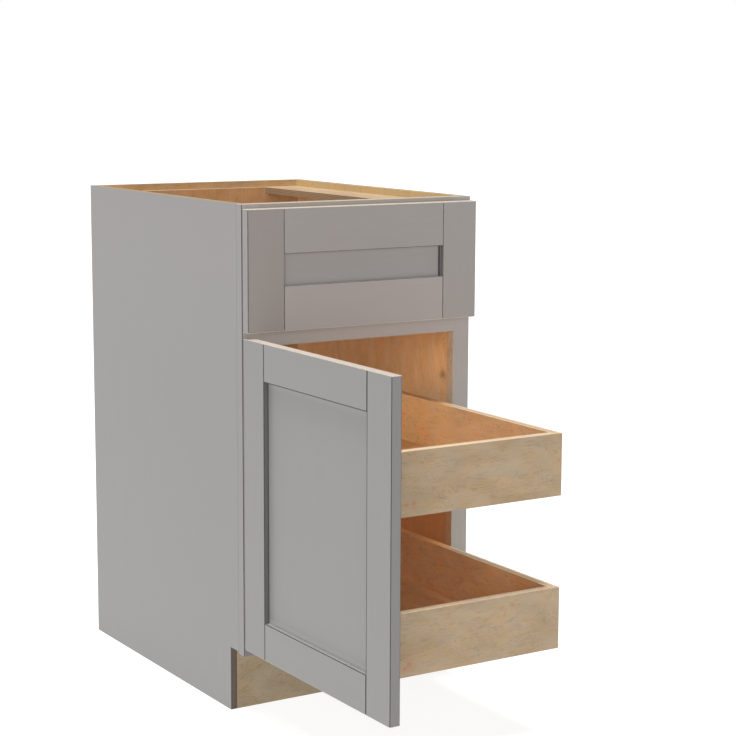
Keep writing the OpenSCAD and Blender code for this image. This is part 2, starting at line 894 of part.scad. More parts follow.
// Puts the children where screws run from inside the drawer box into its front's lower rail
module front_screws() {
    for (i = [1, 2])
        both_sides() translate([i * front_screw_x, drawer_y + wall_t, front_screw_z])
            rotate([-90, 0, 0]) children();
}

module drawer_front_screws() {
    color(steel) front_screws() screw(front_screw_l);
}

module drawer_clips() {
    clips(drawer_half, drawer_y, drawer_z);
}

module drawer_runner_moving() {
    runner_moving(drawer_half, drawer_y, drawer_z);
}

module drawer_runner_middle() {
    runner_middle(drawer_half, runner_y, drawer_z);
}

module drawer_runner_fixed() {
    runner_fixed(drawer_half, drawer_z);
}

module drawer_runner_blocks() {
    runner_blocks(drawer_half, drawer_z);
}

// Cutlery insert, in the drawer box behind its front board

module insert_base() {
    color(maple) board([-insert_w / 2, insert_w / 2], [insert_y, insert_y + insert_d],
        [insert_z, rail_z]);
}

// One divider, which also cuts its grooves in the rails
module insert_divider(i) {
    x = insert_w * (i / (divider_n + 1) - 0.5);
    board([x - insert_t / 2, x + insert_t / 2],
        [rail_front_y + insert_t - divider_groove, rail_back_y + divider_groove],
        [rail_z, rail_z + insert_h]);
}

module insert_rails() {
    color(maple) difference() {
        for (y = [rail_front_y, rail_back_y])
            board([-insert_w / 2, insert_w / 2], [y, y + insert_t], [rail_z, rail_z + insert_h]);
        for (i = [1 : divider_n]) insert_divider(i);
    }
}

module insert_dividers() {
    color(maple) for (i = [1 : divider_n]) insert_divider(i);
}

// Trays

module upper_tray_sides() {
    box_sides(tray_half, tray_y, upper_z, tray_h);
}

module upper_tray_front() {
    box_front(tray_half, tray_y, upper_z, tray_h);
}

module upper_tray_back() {
    box_back(tray_half, tray_y, upper_z, tray_h);
}

module upper_tray_bottom() {
    box_bottom(tray_half, tray_y, upper_z);
}

module upper_tray_clips() {
    clips(tray_half, tray_y, upper_z);
}

module upper_runner_moving() {
    runner_moving(tray_half, tray_y, upper_z);
}

module upper_runner_middle() {
    runner_middle(tray_half, runner_y - tray_open / 2, upper_z);
}

module upper_runner_fixed() {
    runner_fixed(tray_half, upper_z);
}

module lower_tray_sides() {
    box_sides(tray_half, tray_y, lower_z, tray_h);
}

module lower_tray_front() {
    box_front(tray_half, tray_y, lower_z, tray_h);
}

module lower_tray_back() {
    box_back(tray_half, tray_y, lower_z, tray_h);
}

module lower_tray_bottom() {
    box_bottom(tray_half, tray_y, lower_z);
}

module lower_tray_clips() {
    clips(tray_half, tray_y, lower_z);
}

module lower_runner_moving() {
    runner_moving(tray_half, tray_y, lower_z);
}

module lower_runner_middle() {
    runner_middle(tray_half, runner_y - tray_open / 2, lower_z);
}

module lower_runner_fixed() {
    runner_fixed(tray_half, lower_z);
}

module tray_runner_blocks() {
    for (z = [lower_z, upper_z]) runner_blocks(tray_half, z);
}

// Screws of the runners and of the hinge arms
module mounting_screws() {
    color(steel) {
        runner_screws(drawer_half, drawer_z) screw();
        for (z = [lower_z, upper_z]) runner_screws(tray_half, z) screw();
        for (z = hinge_zs) arm_screws(z) screw();
    }
}

side_panel_left();
side_panel_right();
back_panel();
bottom_panel();
toe_board();
hanging_rails();
top_braces();
stile_left();
stile_right();
top_rail();
middle_rail();
bottom_rail();
hinge_arms();
drawer_runner_blocks();
tray_runner_blocks();
drawer_runner_fixed();
upper_runner_fixed();
lower_runner_fixed();
mounting_screws();
door_hinge_stile();
door_free_stile();
door_top_rail();
door_bottom_rail();
door_panel();
hinge_cups();
door_screws();
door_bumpers();
drawer_front_stile_left();
drawer_front_stile_right();
drawer_front_top_rail();
drawer_front_bottom_rail();
drawer_front_panel();
drawer_box_sides();
drawer_box_front();
drawer_box_back();
drawer_box_bottom();
drawer_front_screws();
drawer_bumpers();
drawer_runner_moving();
drawer_clips();
insert_base();
insert_rails();
insert_dividers();
drawer_runner_middle();
upper_runner_middle();
lower_runner_middle();
upper_tray_sides();
upper_tray_front();
upper_tray_back();
upper_tray_bottom();
upper_runner_moving();
upper_tray_clips();
lower_tray_sides();
lower_tray_front();
lower_tray_back();
lower_tray_bottom();
lower_runner_moving();
lower_tray_clips();
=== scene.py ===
"""Looks of the kitchen base cabinet: finishes, eased edges, lights and camera round the CAD part.

Lengths are in metres in the part's frame: X to the right, Y to the back, Z up from the floor.
"""

import math

import bpy
from mathutils import Matrix, Vector


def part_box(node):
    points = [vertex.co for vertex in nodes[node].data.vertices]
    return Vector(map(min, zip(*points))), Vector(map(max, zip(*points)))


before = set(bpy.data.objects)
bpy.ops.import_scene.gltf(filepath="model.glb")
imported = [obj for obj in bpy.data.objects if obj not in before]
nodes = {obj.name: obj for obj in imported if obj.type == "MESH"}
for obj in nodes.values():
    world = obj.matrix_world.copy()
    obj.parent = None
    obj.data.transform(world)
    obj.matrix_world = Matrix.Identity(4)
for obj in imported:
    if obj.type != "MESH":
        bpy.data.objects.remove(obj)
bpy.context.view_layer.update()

MM = 0.001
X, Y, Z = 0, 1, 2
AXES = "xyz"
LOW, HIGH = 0, 1
WHITE = (1, 1, 1, 1)


def node_end(name, end, axis):
    """Where a CAD node ends along an axis, at its low or its high end."""
    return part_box(name)[end][axis]


# Places on the part
cabinet_top = node_end("side_panel_left", HIGH, Z)
wall_face = node_end("side_panel_right", LOW, X)
frame_face = node_end("stile_left", LOW, Y)
back_panel_rear = node_end("back_panel", HIGH, Y)
brace_foot = node_end("top_braces", LOW, Z)
door_foot = node_end("door_hinge_stile", LOW, Z)
door_top = node_end("door_hinge_stile", HIGH, Z)
door_recess = node_end("door_panel", LOW, X)
door_recess_foot = node_end("door_bottom_rail", HIGH, Z)
door_recess_top = node_end("door_top_rail", LOW, Z)
drawer_front_foot = node_end("drawer_front_stile_left", LOW, Z)
drawer_front_top = node_end("drawer_front_stile_left", HIGH, Z)
drawer_recess_right = node_end("drawer_front_stile_right", LOW, X)
tray_side = node_end("upper_tray_sides", HIGH, X)
tray_face = node_end("upper_tray_front", LOW, Y)
upper_tray_foot = node_end("upper_tray_front", LOW, Z)
upper_tray_rim = node_end("upper_tray_front", HIGH, Z)
lower_tray_foot = node_end("lower_tray_front", LOW, Z)
lower_tray_rim = node_end("lower_tray_front", HIGH, Z)
insert_face = node_end("insert_rails", LOW, Y)
insert_foot = node_end("insert_rails", LOW, Z)

# Widths of the eased edges, and how far their pale part, a painted highlight, reaches from the top and
# the bottom
EASED = 0.6 * MM
FRONT_EASED = 1.0 * MM
HIGHLIGHT_REACH = 1.5 * MM

# Camera, fitted to straight edges in the photograph: widths in pixels and millimetres, turns in radians
PHOTO_WIDTH = 736
FOCAL_PIXELS = 1899.62
SENSOR_WIDTH = 36.0
CAMERA_PLACE = Vector((-1.69928, -3.36545, 1.09011))
CAMERA_YAW = 0.55708
CAMERA_PITCH = 0.15413
CAMERA_ROLL = 0.0038

# Paint. Colours are linear, as (red, green, blue)
# PAINT is the cabinet's one gray paint. The copies below, lighter, darker or warmer for single pieces,
# faces, recesses and ledges, stand in for how light falls on them: painted light, shade and warm
# reflected light
PAINT = (0.250, 0.246, 0.243)
PAINT_HIGH = (0.278, 0.266, 0.263)
PAINT_DOOR = (0.246, 0.243, 0.239)
PAINT_DOOR_FOOT = (0.350, 0.345, 0.340)
PAINT_DOOR_HEAD = (0.285, 0.281, 0.277)
PAINT_FRAME = (0.283, 0.260, 0.244)
PAINT_FRAME_FOOT = (0.136, 0.130, 0.144)
PAINT_STILE_LOW = (0.308, 0.284, 0.256)
PAINT_DRAWER = (0.227, 0.212, 0.203)
PAINT_DRAWER_LEFT = (0.200, 0.183, 0.172)
PAINT_DRAWER_LOW = (0.256, 0.234, 0.225)
PAINT_DRAWER_PANEL = (0.238, 0.225, 0.217)
PAINT_TOP_RAIL = (0.268, 0.241, 0.208)
PAINT_END = (0.164, 0.160, 0.155)
PAINT_TOP = (0.44, 0.385, 0.335)
# Recess walls, painted dark: painted shade in the recesses of the door and the drawer front
RECESS_DOOR = (0.095, 0.092, 0.089)
RECESS_DRAWER = (0.140, 0.133, 0.129)
DRAWER_LEDGE = (0.200, 0.188, 0.180)
DOOR_LEDGE = (0.275, 0.271, 0.267)
# Dark lines and dark eased edges: joints, and painted shadow lines in gaps, in corners and along edges
JOINT_AND_SHADOW = (0.045, 0.043, 0.042)
FAINT_JOINT_AND_SHADOW = (0.100, 0.094, 0.090)

# Wood, each with the deeper colour of its clouds
PALE = (0.328, 0.244, 0.150)
PALE_DEEP = (0.272, 0.196, 0.114)
# The cabinet's inside is one maple. Its copies stand in for how light falls there: WALL is lighter than
# AMBER, the upper tray turns from AMBER_FRONT to the lighter AMBER_BACK, the lower tray's AMBER_LOW is
# darker under the upper tray, and WALL_LOW, WALL_TOP and STILE_WOOD_LOW are darker where it is shaded:
# painted light and shade
AMBER = (0.720, 0.435, 0.212)
AMBER_DEEP = (0.635, 0.350, 0.150)
AMBER_FRONT = (0.555, 0.375, 0.218)
AMBER_FRONT_DEEP = (0.490, 0.310, 0.165)
AMBER_BACK = (0.845, 0.525, 0.246)
AMBER_LOW = (0.645, 0.330, 0.152)
AMBER_LOW_DEEP = (0.560, 0.280, 0.125)
WALL = (0.950, 0.590, 0.300)
WALL_DEEP = (0.880, 0.480, 0.210)
WALL_LOW = (0.740, 0.290, 0.100)
WALL_TOP = (0.585, 0.425, 0.215)
BACK = (0.465, 0.270, 0.128)
BACK_DEEP = (0.390, 0.202, 0.085)
RAIL = (0.425, 0.275, 0.142)
RAIL_DEEP = (0.365, 0.215, 0.098)
BRACE = (0.482, 0.351, 0.215)
BRACE_DEEP = (0.409, 0.284, 0.165)
TOE = (0.259, 0.203, 0.127)
TOE_DEEP = (0.220, 0.166, 0.100)
STILE_WOOD = (0.613, 0.472, 0.320)
STILE_WOOD_DEEP = (0.525, 0.390, 0.256)
STILE_WOOD_LOW = (0.575, 0.310, 0.165)
INSERT = (0.520, 0.370, 0.210)
INSERT_DEEP = (0.450, 0.300, 0.155)
KNOT = (0.345, 0.170, 0.098)
KNOT_HEART = (0.205, 0.115, 0.074)

# What a wood's colour is multiplied by in its cool and its reddish patches, and in its dark lines
COOL_CAST = (0.955, 1.0, 1.10)
RUDDY_CAST = (1.035, 0.965, 0.90)
LINE_CAST = (0.60, 0.55, 0.52)

# Cut edges of plywood: its light and its dark layers
EDGE_LIGHT = (0.560, 0.420, 0.270)
EDGE_DARK = (0.340, 0.235, 0.140)
# The trays' cut edges: the lower tray's are paler, painted light against the upper tray's shadow, and
# both turn warmer inside the cabinet, painted warm bounce light
TRAY_LIGHT = (0.560, 0.430, 0.290)
TRAY_DARK = (0.400, 0.300, 0.200)
TRAY_BACK = (0.550, 0.310, 0.155)
TRAY_LOW_LIGHT = (0.780, 0.600, 0.405)
TRAY_LOW_DARK = (0.540, 0.410, 0.275)
TRAY_LOW_BACK = (0.800, 0.390, 0.165)
BRACE_EDGE_LIGHT = (0.400, 0.290, 0.185)
BRACE_EDGE_DARK = (0.280, 0.195, 0.120)
FOOT_LIGHT = (0.100, 0.078, 0.058)
FOOT_DARK = (0.060, 0.046, 0.035)
PLY = 1.45 * MM

# Sockets of the Mix node for colours
MIX_A, MIX_B, MIX_RESULT = 6, 7, 2


class Material:
    """A Principled material, whose nodes are added by short calls."""

    def __init__(self, name, roughness, specular=0.35):
        self.data = bpy.data.materials.new(name)
        self.data.use_nodes = True
        self.tree = self.data.node_tree
        self.shader = self.tree.nodes["Principled BSDF"]
        self.shader.inputs["Roughness"].default_value = roughness
        self.shader.inputs["Specular IOR Level"].default_value = specular
        self.place = self.add("TexCoord").outputs["Object"]

    def add(self, kind, **settings):
        """A new shader node of that kind."""
        node = self.tree.nodes.new("ShaderNode" + kind)
        for key, value in settings.items():
            setattr(node, key, value)
        return node

    def feed(self, socket, source):
        """Links a source that is a socket, or sets one that is a value."""
        if isinstance(source, bpy.types.NodeSocket):
            self.tree.links.new(source, socket)
        else:
            socket.default_value = source

    def stretched(self, scale):
        """The place on the object, stretched along each axis."""
        mapping = self.add("Mapping")
        self.feed(mapping.inputs["Vector"], self.place)
        mapping.inputs["Scale"].default_value = scale
        return mapping.outputs["Vector"]

    def along(self, axis, length, across=1.0):
        """The place on the object, drawn out along the grain."""
        scale = [across] * 3
        scale[axis] = length
        return self.stretched(scale)

    def coordinate(self, axis):
        """The place on the object along one axis."""
        split = self.add("SeparateXYZ")
        self.feed(split.inputs[0], self.place)
        return split.outputs[axis]

    def noise(self, vector, scale, detail=2.0, roughness=0.5, distortion=0.0):
        """Smooth noise round 0.5."""
        node = self.add("TexNoise")
        self.feed(node.inputs["Vector"], vector)
        node.inputs["Scale"].default_value = scale
        node.inputs["Detail"].default_value = detail
        node.inputs["Roughness"].default_value = roughness
        node.inputs["Distortion"].default_value = distortion
        return node.outputs["Fac"]

    def math(self, operation, *values):
        """The result of a sum on sockets and numbers."""
        node = self.add("Math", operation=operation)
        for socket, value in zip(node.inputs, values):
            self.feed(socket, value)
        return node.outputs[0]

    def ramp(self, value, start, end, low=0.0, high=1.0):
        """Goes smoothly from low to high while value goes from start to end."""
        node = self.add("MapRange", interpolation_type="SMOOTHSTEP")
        self.feed(node.inputs["Value"], value)
        node.inputs["From Min"].default_value = start
        node.inputs["From Max"].default_value = end
        node.inputs["To Min"].default_value = low
        node.inputs["To Max"].default_value = high
        return node.outputs["Result"]

    def mix(self, share, a, b):
        """Colour a, with share of colour b."""
        node = self.add("Mix", data_type="RGBA")
        return self.mixed(node, share, a, b)

    def tint(self, colour, by):
        """The colour, multiplied by another one."""
        node = self.add("Mix", data_type="RGBA", blend_type="MULTIPLY")
        return self.mixed(node, 1.0, colour, by)

    def mixed(self, node, share, a, b):
        """What a Mix node gives for that share and those two colours."""
        self.feed(node.inputs["Factor"], share)
        self.feed(node.inputs[MIX_A], self.rgba(a))
        self.feed(node.inputs[MIX_B], self.rgba(b))
        return node.outputs[MIX_RESULT]

    def rgba(self, colour):
        """A colour socket as it is, or a colour with its alpha."""
        return colour if isinstance(colour, bpy.types.NodeSocket) else (*colour, 1.0)

    def finish(self, colour, height=None, bump=0.0, roughness=None):
        """Joins the colour, the roughness and a height in metres times bump to the shader."""
        self.feed(self.shader.inputs["Base Color"], self.rgba(colour))
        if roughness is not None:
            self.feed(self.shader.inputs["Roughness"], roughness)
        if height is not None:
            node = self.add("Bump")
            node.inputs["Distance"].default_value = bump
            self.feed(node.inputs["Height"], height)
            self.feed(self.shader.inputs["Normal"], node.outputs["Normal"])
        return self.data


def shade(colour, factor):
    """The colour, made lighter or darker."""
    return tuple(c * factor for c in colour)


def toned(m, tone, tones):
    """The tone, with other colours along the piece.

    Each of tones is an axis, the places along it where the colour starts and ends turning to
    another one, and that one.
    """
    for axis, start, end, other in tones:
        tone = m.mix(m.ramp(m.coordinate(axis), start, end), tone, other)
    return tone


def gray_paint(name, grain, colour, joints=(), tones=()):
    """Satin lacquer over wood, whose grain barely shows through.

    Each of the lines is a fine dark line: an axis, the place along it and half of the line's width.
    Some mark joints, the others are painted shadow lines in gaps, in corners and along recess edges.
    """
    m = Material(name, 0.42)
    streaks = m.noise(m.along(grain, 9.0, 160.0), 1.0, detail=3.0, roughness=0.6)
    clouds = m.noise(m.place, 5.0)
    peel = m.noise(m.place, 700.0, detail=1.0)
    tone = m.mix(m.ramp(streaks, 0.3, 0.7), shade(colour, 0.988), shade(colour, 1.012))
    warm = (colour[0] * 1.02, colour[1] * 0.997, colour[2] * 0.975)
    tone = m.mix(m.ramp(clouds, 0.35, 0.65, 0.0, 0.4), tone, warm)
    tone = toned(m, tone, tones)
    for axis, place, half in joints:
        tone = m.mix(m.math("COMPARE", m.coordinate(axis), place, half), tone, JOINT_AND_SHADOW)
    height = m.math("ADD", m.math("MULTIPLY", streaks, 0.6), m.math("MULTIPLY", peel, 0.4))
    return m.finish(tone, height, 0.03 * MM, m.ramp(peel, 0.3, 0.7, 0.38, 0.47))


def eased_paint(name, dark, low, high, ledge=None):
    """The eased edges of a front from low to high: dark in its joints and as painted shade along the
    edges, pale at top and bottom as a painted highlight.

    A ledge is the axis and the place of a recess's inner edges, and the colour that they have
    instead.
    """
    m = Material(name, 0.6, 0.15)
    middle = (low + high) / 2
    half = (high - low) / 2 - HIGHLIGHT_REACH
    between = m.math("COMPARE", m.coordinate(Z), middle, half)
    mottle = m.noise(m.place, 120.0, detail=3.0, roughness=0.6)
    # Painted shade on the eased edges between their ends, mottled
    shady = m.mix(m.ramp(mottle, 0.3, 0.7), dark, shade(dark, 1.4))
    # A painted highlight on the eased edges near the top and the bottom
    highlight = m.mix(m.ramp(mottle, 0.35, 0.7), PAINT_TOP, shade(PAINT_TOP, 0.85))
    tone = m.mix(between, highlight, shady)
    if ledge:
        axis, place, plain = ledge
        tone = m.mix(m.math("COMPARE", m.coordinate(axis), place, 3 * MM), tone, plain)
    return m.finish(tone, mottle, 0.02 * MM)


def growth_lines(m, grain, bend):
    """How strongly the wavy growth lines and the curls show at each place."""
    field = m.noise(m.along(grain, 0.32), 21.0, detail=3.0, roughness=0.55, distortion=0.9)
    waves = m.ramp(m.math("SINE", m.math("MULTIPLY", field, 105.0)), 0.55, 1.0)
    gaps = m.ramp(m.noise(m.along(grain, 0.5), 60.0), 0.44, 0.60)
    curls = m.ramp(m.math("ABSOLUTE", m.math("SUBTRACT", bend, 0.5)), 0.0, 0.04, 1.0, 0.0)
    patches = m.ramp(m.noise(m.along(grain, 0.7), 27.0), 0.42, 0.60)
    return m.math("MAXIMUM", m.math("MULTIPLY", waves, gaps), m.math("MULTIPLY", curls, patches))


def knotted(m, tone, knots, bend):
    """The tone, with a soft ragged knot at each centre and radius."""
    for centre, radius in knots:
        reach = m.add("VectorMath", operation="DISTANCE")
        m.feed(reach.inputs[0], m.place)
        reach.inputs[1].default_value = centre
        ragged = m.math("MULTIPLY", reach.outputs["Value"], m.ramp(bend, 0.2, 0.8, 0.6, 1.4))
        tone = m.mix(m.ramp(ragged, 0.35 * radius, radius, 0.45, 0.0), tone, KNOT)
        tone = m.mix(m.ramp(ragged, 0.10 * radius, 0.50 * radius, 0.4, 0.0), tone, KNOT_HEART)
    return tone


def maple(name, grain, light, deep, knots=(), tones=(), figure=0.42):
    """Clear-coated maple veneer: soft clouds, fine wavy growth lines, curls, flecks and a few knots.

    The figure is how strongly its lines show.
    """
    m = Material(name, 0.4)
    clouds = m.noise(m.along(grain, 0.45), 24.0, detail=4.0, roughness=0.6, distortion=0.5)
    tone = toned(m, m.mix(m.ramp(clouds, 0.28, 0.72), light, deep), tones)
    cool = m.noise(m.along(grain, 0.6), 38.0, detail=3.0, roughness=0.6)
    tone = m.mix(m.ramp(cool, 0.42, 0.64), tone, m.tint(tone, COOL_CAST))
    ruddy = m.noise(m.along(grain, 0.6), 31.0, detail=3.0, roughness=0.6, distortion=0.6)
    tone = m.mix(m.ramp(ruddy, 0.45, 0.66), tone, m.tint(tone, RUDDY_CAST))
    dark = m.tint(tone, LINE_CAST)
    bend = m.noise(m.along(grain, 0.5), 105.0, roughness=0.55, distortion=1.6)
    tone = m.mix(m.math("MULTIPLY", growth_lines(m, grain, bend), figure), tone, dark)
    flecks = m.noise(m.along(grain, 0.16), 300.0, roughness=0.6, distortion=0.2)
    tone = m.mix(m.ramp(flecks, 0.54, 0.74, 0.0, 0.95 * figure), tone, dark)
    tone = knotted(m, tone, knots, bend)
    pores = m.noise(m.along(grain, 0.2), 1500.0, detail=1.0)
    height = m.math("ADD", m.math("MULTIPLY", flecks, 0.5), m.math("MULTIPLY", pores, 0.5))
    return m.finish(tone, height, 0.05 * MM, m.ramp(flecks, 0.3, 0.7, 0.36, 0.48))


def ply_edge(name, layers, light=EDGE_LIGHT, deep=EDGE_DARK, band=None, back=None):
    """The cut edge of plywood, with its layers stacked along one axis.

    Long-grain layers are light and streaked, cross-grain ones darker and dotted. A band is the
    distance from the cabinet's middle to a wider dark layer, and half of that layer's width. Back
    is the colour that the edge turns to just in front of the face frame and behind it.
    """
    m = Material(name, 0.55)
    wave = m.math("SINE", m.math("MULTIPLY", m.coordinate(layers), math.pi / PLY))
    cross = m.ramp(wave, -0.35, 0.35)
    if band:
        wide = m.math("COMPARE", m.math("ABSOLUTE", m.coordinate(X)), *band)
        cross = m.math("MAXIMUM", m.math("MULTIPLY", cross, 0.45), wide)
    streaks = m.noise(m.along(layers, 900.0, 60.0), 1.0, detail=3.0, roughness=0.6)
    dots = m.noise(m.place, 1100.0, roughness=0.6)
    bright = m.mix(m.ramp(streaks, 0.35, 0.75), light, shade(light, 0.82))
    dotted = m.mix(m.ramp(dots, 0.45, 0.7), deep, shade(deep, 0.6))
    tone = m.mix(cross, bright, dotted)
    # Painted warm bounce light: the edge turns to the back colour inside the cabinet
    if back:
        tone = toned(m, tone, ((Y, frame_face - 50 * MM, frame_face - 10 * MM, back),))
    return m.finish(tone, cross, -0.05 * MM)


def plain_steel(name, low, high):
    """Zinc-plated sheet steel."""
    m = Material(name, 0.34)
    m.shader.inputs["Metallic"].default_value = 1.0
    spangle = m.noise(m.stretched((220.0, 30.0, 220.0)), 1.0, detail=3.0, roughness=0.6)
    tone = m.mix(m.ramp(spangle, 0.3, 0.7), low, high)
    return m.finish(tone, spangle, 0.01 * MM, m.ramp(spangle, 0.3, 0.7, 0.26, 0.42))


def moulded(name, colour, roughness):
    """Moulded plastic or rubber with a fine spark-eroded grain."""
    m = Material(name, roughness, 0.5)
    grain = m.noise(m.place, 1800.0)
    tone = m.mix(m.ramp(grain, 0.35, 0.65), shade(colour, 0.9), colour)
    return m.finish(tone, grain, 0.03 * MM)


def end_line(name, end, axis, width):
    """A dark line along one end of a CAD node, and over the end itself, as gray_paint takes it."""
    past = 0.1 * MM
    half = (width + past) / 2
    middle = half - past
    return axis, node_end(name, end, axis) + (middle if end == LOW else -middle), half


def by_axis(make, name, axes, *values, **settings):
    """The same finish along each of several axes."""
    return {axis: make(f"{name}_{AXES[axis]}", axis, *values, **settings) for axis in axes}


# Painted light: paint is paler towards the cabinet's top, and on the right stile from the upper tray
# down, where it cancels the trays' shadow
SIDE_TONES = ((Z, 0.51 * cabinet_top, 1.03 * cabinet_top, PAINT_HIGH),)
RIGHT_STILE_TONES = ((Z, upper_tray_foot + 50 * MM, upper_tray_foot - 50 * MM, PAINT_STILE_LOW),)

# The left stile is darker below the door: painted shade under it. The door's panel is paler along its
# foot and its top: painted light that cancels the shade at the edges of its recess
FRAME_TONES = ((Z, door_foot + 2 * MM, door_foot, PAINT_FRAME_FOOT),)
DOOR_PANEL_TONES = (
    (Z, door_recess_foot + 11 * MM, door_recess_foot + 1 * MM, PAINT_DOOR_FOOT),
    (Z, door_recess_top - 13 * MM, door_recess_top - 1 * MM, PAINT_DOOR_HEAD),
)

# The cabinet's inside is redder and darker from the upper tray's rim down to just above the lower
# tray's: painted shade between the trays. The walls are duller beside the braces, painted shade there,
# and plain behind the back panel
REDDER_IN_SHADE = (Z, upper_tray_rim + 8 * MM, lower_tray_rim + 46 * MM)
STILE_TONES = ((*REDDER_IN_SHADE, STILE_WOOD_LOW),)
WALL_TONES = (
    (*REDDER_IN_SHADE, WALL_LOW),
    (Z, brace_foot - 16 * MM, brace_foot - 1 * MM, WALL_TOP),
    (Y, back_panel_rear, back_panel_rear + 0.7 * MM, PALE),
)

# The upper tray is brighter inside towards its back: painted light against the cabinet's shade on its
# part inside
UPPER_TONES = ((Y, tray_face + 242 * MM, tray_face + 412 * MM, AMBER_BACK),)

# Knots: the centre and the radius of each
TRAY_KNOTS = (
    ((-124 * MM, tray_face, upper_tray_foot + 19.5 * MM), 10 * MM),
    ((-111 * MM, tray_face, upper_tray_foot + 21 * MM), 11 * MM),
    ((-117 * MM, tray_face, lower_tray_foot + 20 * MM), 13 * MM),
    ((-126 * MM, tray_face, lower_tray_foot + 15 * MM), 9 * MM),
)
WALL_KNOTS = (
    ((wall_face, frame_face + 62 * MM, upper_tray_rim + 38 * MM), 14 * MM),
    ((-wall_face, frame_face + 310 * MM, upper_tray_foot - 58 * MM), 14 * MM),
)
INSERT_KNOTS = (
    ((95 * MM, insert_face, insert_foot + 3 * MM), 11 * MM),
    ((-120 * MM, insert_face, insert_foot + 5 * MM), 8 * MM),
)

# Paint of the cabinet, with painted shadow lines along the frame's corner behind the door, on its side
# and on its front, where the gap to the door lies in shade
side_paint = gray_paint("side_paint", Z, PAINT, tones=SIDE_TONES)
frame_side_paint = gray_paint(
    "frame_side_paint", Z, PAINT, (end_line("stile_left", LOW, Y, 0.7 * MM),), SIDE_TONES)
frame_gap_paint = gray_paint(
    "frame_gap_paint", Z, PAINT_FRAME, (end_line("stile_left", LOW, X, 1.1 * MM),), FRAME_TONES)
right_stile_paint = gray_paint("right_stile_paint", Z, PAINT_FRAME, tones=RIGHT_STILE_TONES)
frame_paint = gray_paint("frame_paint_x", X, PAINT_FRAME)
top_rail_paint = gray_paint("top_rail_paint", X, PAINT_TOP_RAIL)
# Upward faces of the painted pieces: paler paint, a painted highlight from the light above
top_paint = gray_paint("top_paint", X, PAINT_TOP)

# Paint of the door, with dark lines where its pieces meet and beside its panel, painted shadow lines
# along the rails' edges at the recess, and a recess wall painted dark as shade
DOOR_STILE_JOINTS = (
    end_line("door_hinge_stile", LOW, Y, 1.8 * MM), end_line("door_free_stile", HIGH, Y, 2.5 * MM),
)
DOOR_RAIL_SHADOW_LINES = (
    end_line("door_top_rail", LOW, Z, 1.7 * MM), end_line("door_bottom_rail", HIGH, Z, 1.0 * MM),
)
# A painted shadow line in the inner corner of the door's recess
DOOR_RECESS_LINE = (X, door_recess - 0.9 * MM, 1.0 * MM)
door_stile_paint = gray_paint("door_stile_paint", Z, PAINT_DOOR, DOOR_STILE_JOINTS)
door_rail_paint = gray_paint("door_rail_paint", Y, PAINT_DOOR, DOOR_RAIL_SHADOW_LINES)
door_panel_paint = gray_paint("door_panel_paint", Z, PAINT_DOOR, tones=DOOR_PANEL_TONES)
door_recess_paint = gray_paint("door_recess_paint", Z, RECESS_DOOR, (DOOR_RECESS_LINE,))
door_ledge_paint = gray_paint("ledge_paint_y", Y, DOOR_LEDGE)
end_paint = gray_paint("end_paint", Z, PAINT_END)
door_eased = eased_paint("door_eased", JOINT_AND_SHADOW, door_foot, door_top)
door_ledge_eased = eased_paint(
    "door_ledge_eased", JOINT_AND_SHADOW, door_foot, door_top, (X, door_recess, DOOR_LEDGE))

# Paint of the drawer front, with painted shadow lines at its left end and at its recess's right end,
# and a recess wall painted dark as shade
# A painted shadow band on the drawer's panel along its recess's right end
DRAWER_RECESS_LINE = (X, drawer_recess_right - 2.6 * MM, 2.0 * MM)
drawer_paint = by_axis(gray_paint, "drawer_paint", (X, Z), PAINT_DRAWER)
drawer_left_paint = gray_paint(
    "drawer_paint_left", Z, PAINT_DRAWER_LEFT, (end_line("drawer_front_stile_left", LOW, X, 1.6 * MM),))
drawer_low_paint = gray_paint("drawer_paint_low", X, PAINT_DRAWER_LOW)
drawer_panel_paint = gray_paint(
    "drawer_panel_paint", X, PAINT_DRAWER_PANEL, (DRAWER_RECESS_LINE,))
drawer_recess_paint = gray_paint("drawer_recess_paint", Z, RECESS_DRAWER)
drawer_ledge_paint = gray_paint("ledge_paint_x", X, DRAWER_LEDGE)
drawer_eased = eased_paint("drawer_eased", FAINT_JOINT_AND_SHADOW, drawer_front_foot, drawer_front_top)

# Wood
pale = by_axis(maple, "maple_pale", (X, Y, Z), PALE, PALE_DEEP)
amber = by_axis(maple, "maple_amber", (X, Y), AMBER, AMBER_DEEP)
amber_upper = by_axis(maple, "maple_upper", (X, Y), AMBER_FRONT, AMBER_FRONT_DEEP, tones=UPPER_TONES)
amber_lower = by_axis(maple, "maple_lower", (X, Y), AMBER_LOW, AMBER_LOW_DEEP)
wall = by_axis(maple, "maple_wall", (Y, Z), WALL, WALL_DEEP, WALL_KNOTS, WALL_TONES, figure=0.3)
tray_wood = maple("maple_tray_front", X, PALE, PALE_DEEP, TRAY_KNOTS, figure=0.34)
back_wood = maple("maple_back", Z, BACK, BACK_DEEP)
rim_wood = maple("maple_rim", X, TRAY_LIGHT, EDGE_LIGHT)
rail_wood = maple("maple_rail", X, RAIL, RAIL_DEEP)
brace_wood = maple("maple_brace", Y, BRACE, BRACE_DEEP)
toe_wood = maple("maple_toe", X, TOE, TOE_DEEP)
stile_wood = maple("maple_stile", Z, STILE_WOOD, STILE_WOOD_DEEP, tones=STILE_TONES)
insert_wood = by_axis(maple, "maple_insert", (X, Y), INSERT, INSERT_DEEP, INSERT_KNOTS)

